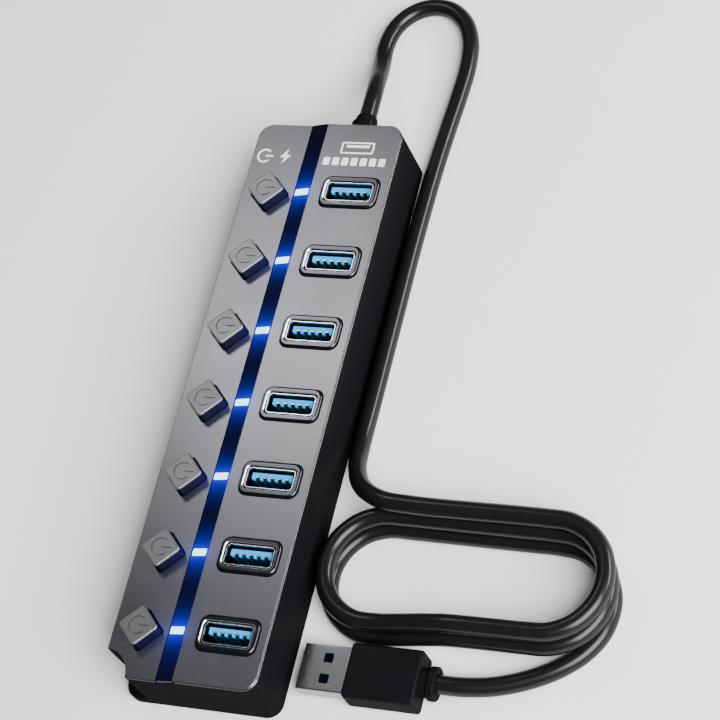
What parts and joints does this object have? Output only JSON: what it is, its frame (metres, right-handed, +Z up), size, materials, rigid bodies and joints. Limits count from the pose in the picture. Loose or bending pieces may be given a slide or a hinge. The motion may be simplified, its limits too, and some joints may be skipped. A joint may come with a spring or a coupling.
{
  "type": "usb hub",
  "caption": "Flat powered-port USB hub with a row of upright sockets, a latching push switch and status light for each, and a captive coiled cable with plug.",
  "frame": {"origin": "middle of the underside of the case", "axes": "+X across the case from the switches to the sockets, +Y along the case towards the cable exit, +Z up out of the socket face"},
  "size_m": [0.1219, 0.2125, 0.0219],
  "materials": {
    "face_plate": "satin dark grey moulded plastic with a fine metallic grain",
    "black_case": "near-black satin moulded plastic",
    "smoked_stripe": "smoked translucent plastic lit blue from behind",
    "clear_guide": "clear moulded light guide",
    "screw_steel": "blackened steel",
    "circuit_board": "green solder mask on glass-fibre board",
    "chip_resin": "matt black moulding compound",
    "nickel": "bright nickel plate on pressed steel",
    "blue_resin": "bright blue moulded insulator",
    "led_resin": "clear LED resin",
    "switch_resin": "black switch housing",
    "plunger_resin": "off-white switch plunger",
    "button_resin": "matt mid-grey button cap with dark sides",
    "overmould_resin": "satin black flexible moulding",
    "cord_jacket": "glossy black cable jacket"
  },
  "bodies": {
    "housing": {"top_cover": "face_plate", "base_shell": "black_case", "light_bar": "smoked_stripe", "light_guide": "clear_guide", "case_screw_1": "screw_steel", "case_screw_2": "screw_steel", "case_screw_3": "screw_steel", "case_screw_4": "screw_steel", "circuit_board": "circuit_board", "hub_controller_1": "chip_resin", "hub_controller_2": "chip_resin", "port_shell_1": "nickel", "port_insulator_1": "blue_resin", "led_1": "led_resin", "switch_body_1": "switch_resin", "port_shell_2": "nickel", "port_insulator_2": "blue_resin", "led_2": "led_resin", "switch_body_2": "switch_resin", "port_shell_3": "nickel", "port_insulator_3": "blue_resin", "led_3": "led_resin", "switch_body_3": "switch_resin", "port_shell_4": "nickel", "port_insulator_4": "blue_resin", "led_4": "led_resin", "switch_body_4": "switch_resin", "port_shell_5": "nickel", "port_insulator_5": "blue_resin", "led_5": "led_resin", "switch_body_5": "switch_resin", "port_shell_6": "nickel", "port_insulator_6": "blue_resin", "led_6": "led_resin", "switch_body_6": "switch_resin", "port_shell_7": "nickel", "port_insulator_7": "blue_resin", "led_7": "led_resin", "switch_body_7": "switch_resin", "strain_relief": "overmould_resin", "cord_upper": "cord_jacket", "cord_coil": "cord_jacket", "cord_lower": "cord_jacket", "plug_overmould": "overmould_resin", "plug_shell": "nickel", "plug_insulator": "blue_resin"},
    "button_1": {"button_cap_1": "button_resin", "switch_plunger_1": "plunger_resin"},
    "button_2": {"button_cap_2": "button_resin", "switch_plunger_2": "plunger_resin"},
    "button_3": {"button_cap_3": "button_resin", "switch_plunger_3": "plunger_resin"},
    "button_4": {"button_cap_4": "button_resin", "switch_plunger_4": "plunger_resin"},
    "button_5": {"button_cap_5": "button_resin", "switch_plunger_5": "plunger_resin"},
    "button_6": {"button_cap_6": "button_resin", "switch_plunger_6": "plunger_resin"},
    "button_7": {"button_cap_7": "button_resin", "switch_plunger_7": "plunger_resin"}
  },
  "joints": [
    {"name": "button_1_press", "type": "slide", "parent": "housing", "child": "button_1", "axis": [0, 0, 1], "range_m": [-0.0005, 0.0015], "stiffness_N_per_m": 300},
    {"name": "button_2_press", "type": "slide", "parent": "housing", "child": "button_2", "axis": [0, 0, 1], "range_m": [-0.0005, 0.0015], "stiffness_N_per_m": 300},
    {"name": "button_3_press", "type": "slide", "parent": "housing", "child": "button_3", "axis": [0, 0, 1], "range_m": [-0.0005, 0.0015], "stiffness_N_per_m": 300},
    {"name": "button_4_press", "type": "slide", "parent": "housing", "child": "button_4", "axis": [0, 0, 1], "range_m": [-0.0005, 0.0015], "stiffness_N_per_m": 300},
    {"name": "button_5_press", "type": "slide", "parent": "housing", "child": "button_5", "axis": [0, 0, 1], "range_m": [-0.0005, 0.0015], "stiffness_N_per_m": 300},
    {"name": "button_6_press", "type": "slide", "parent": "housing", "child": "button_6", "axis": [0, 0, 1], "range_m": [-0.0005, 0.0015], "stiffness_N_per_m": 300},
    {"name": "button_7_press", "type": "slide", "parent": "housing", "child": "button_7", "axis": [0, 0, 1], "range_m": [-0.0005, 0.0015], "stiffness_N_per_m": 300}
  ]
}
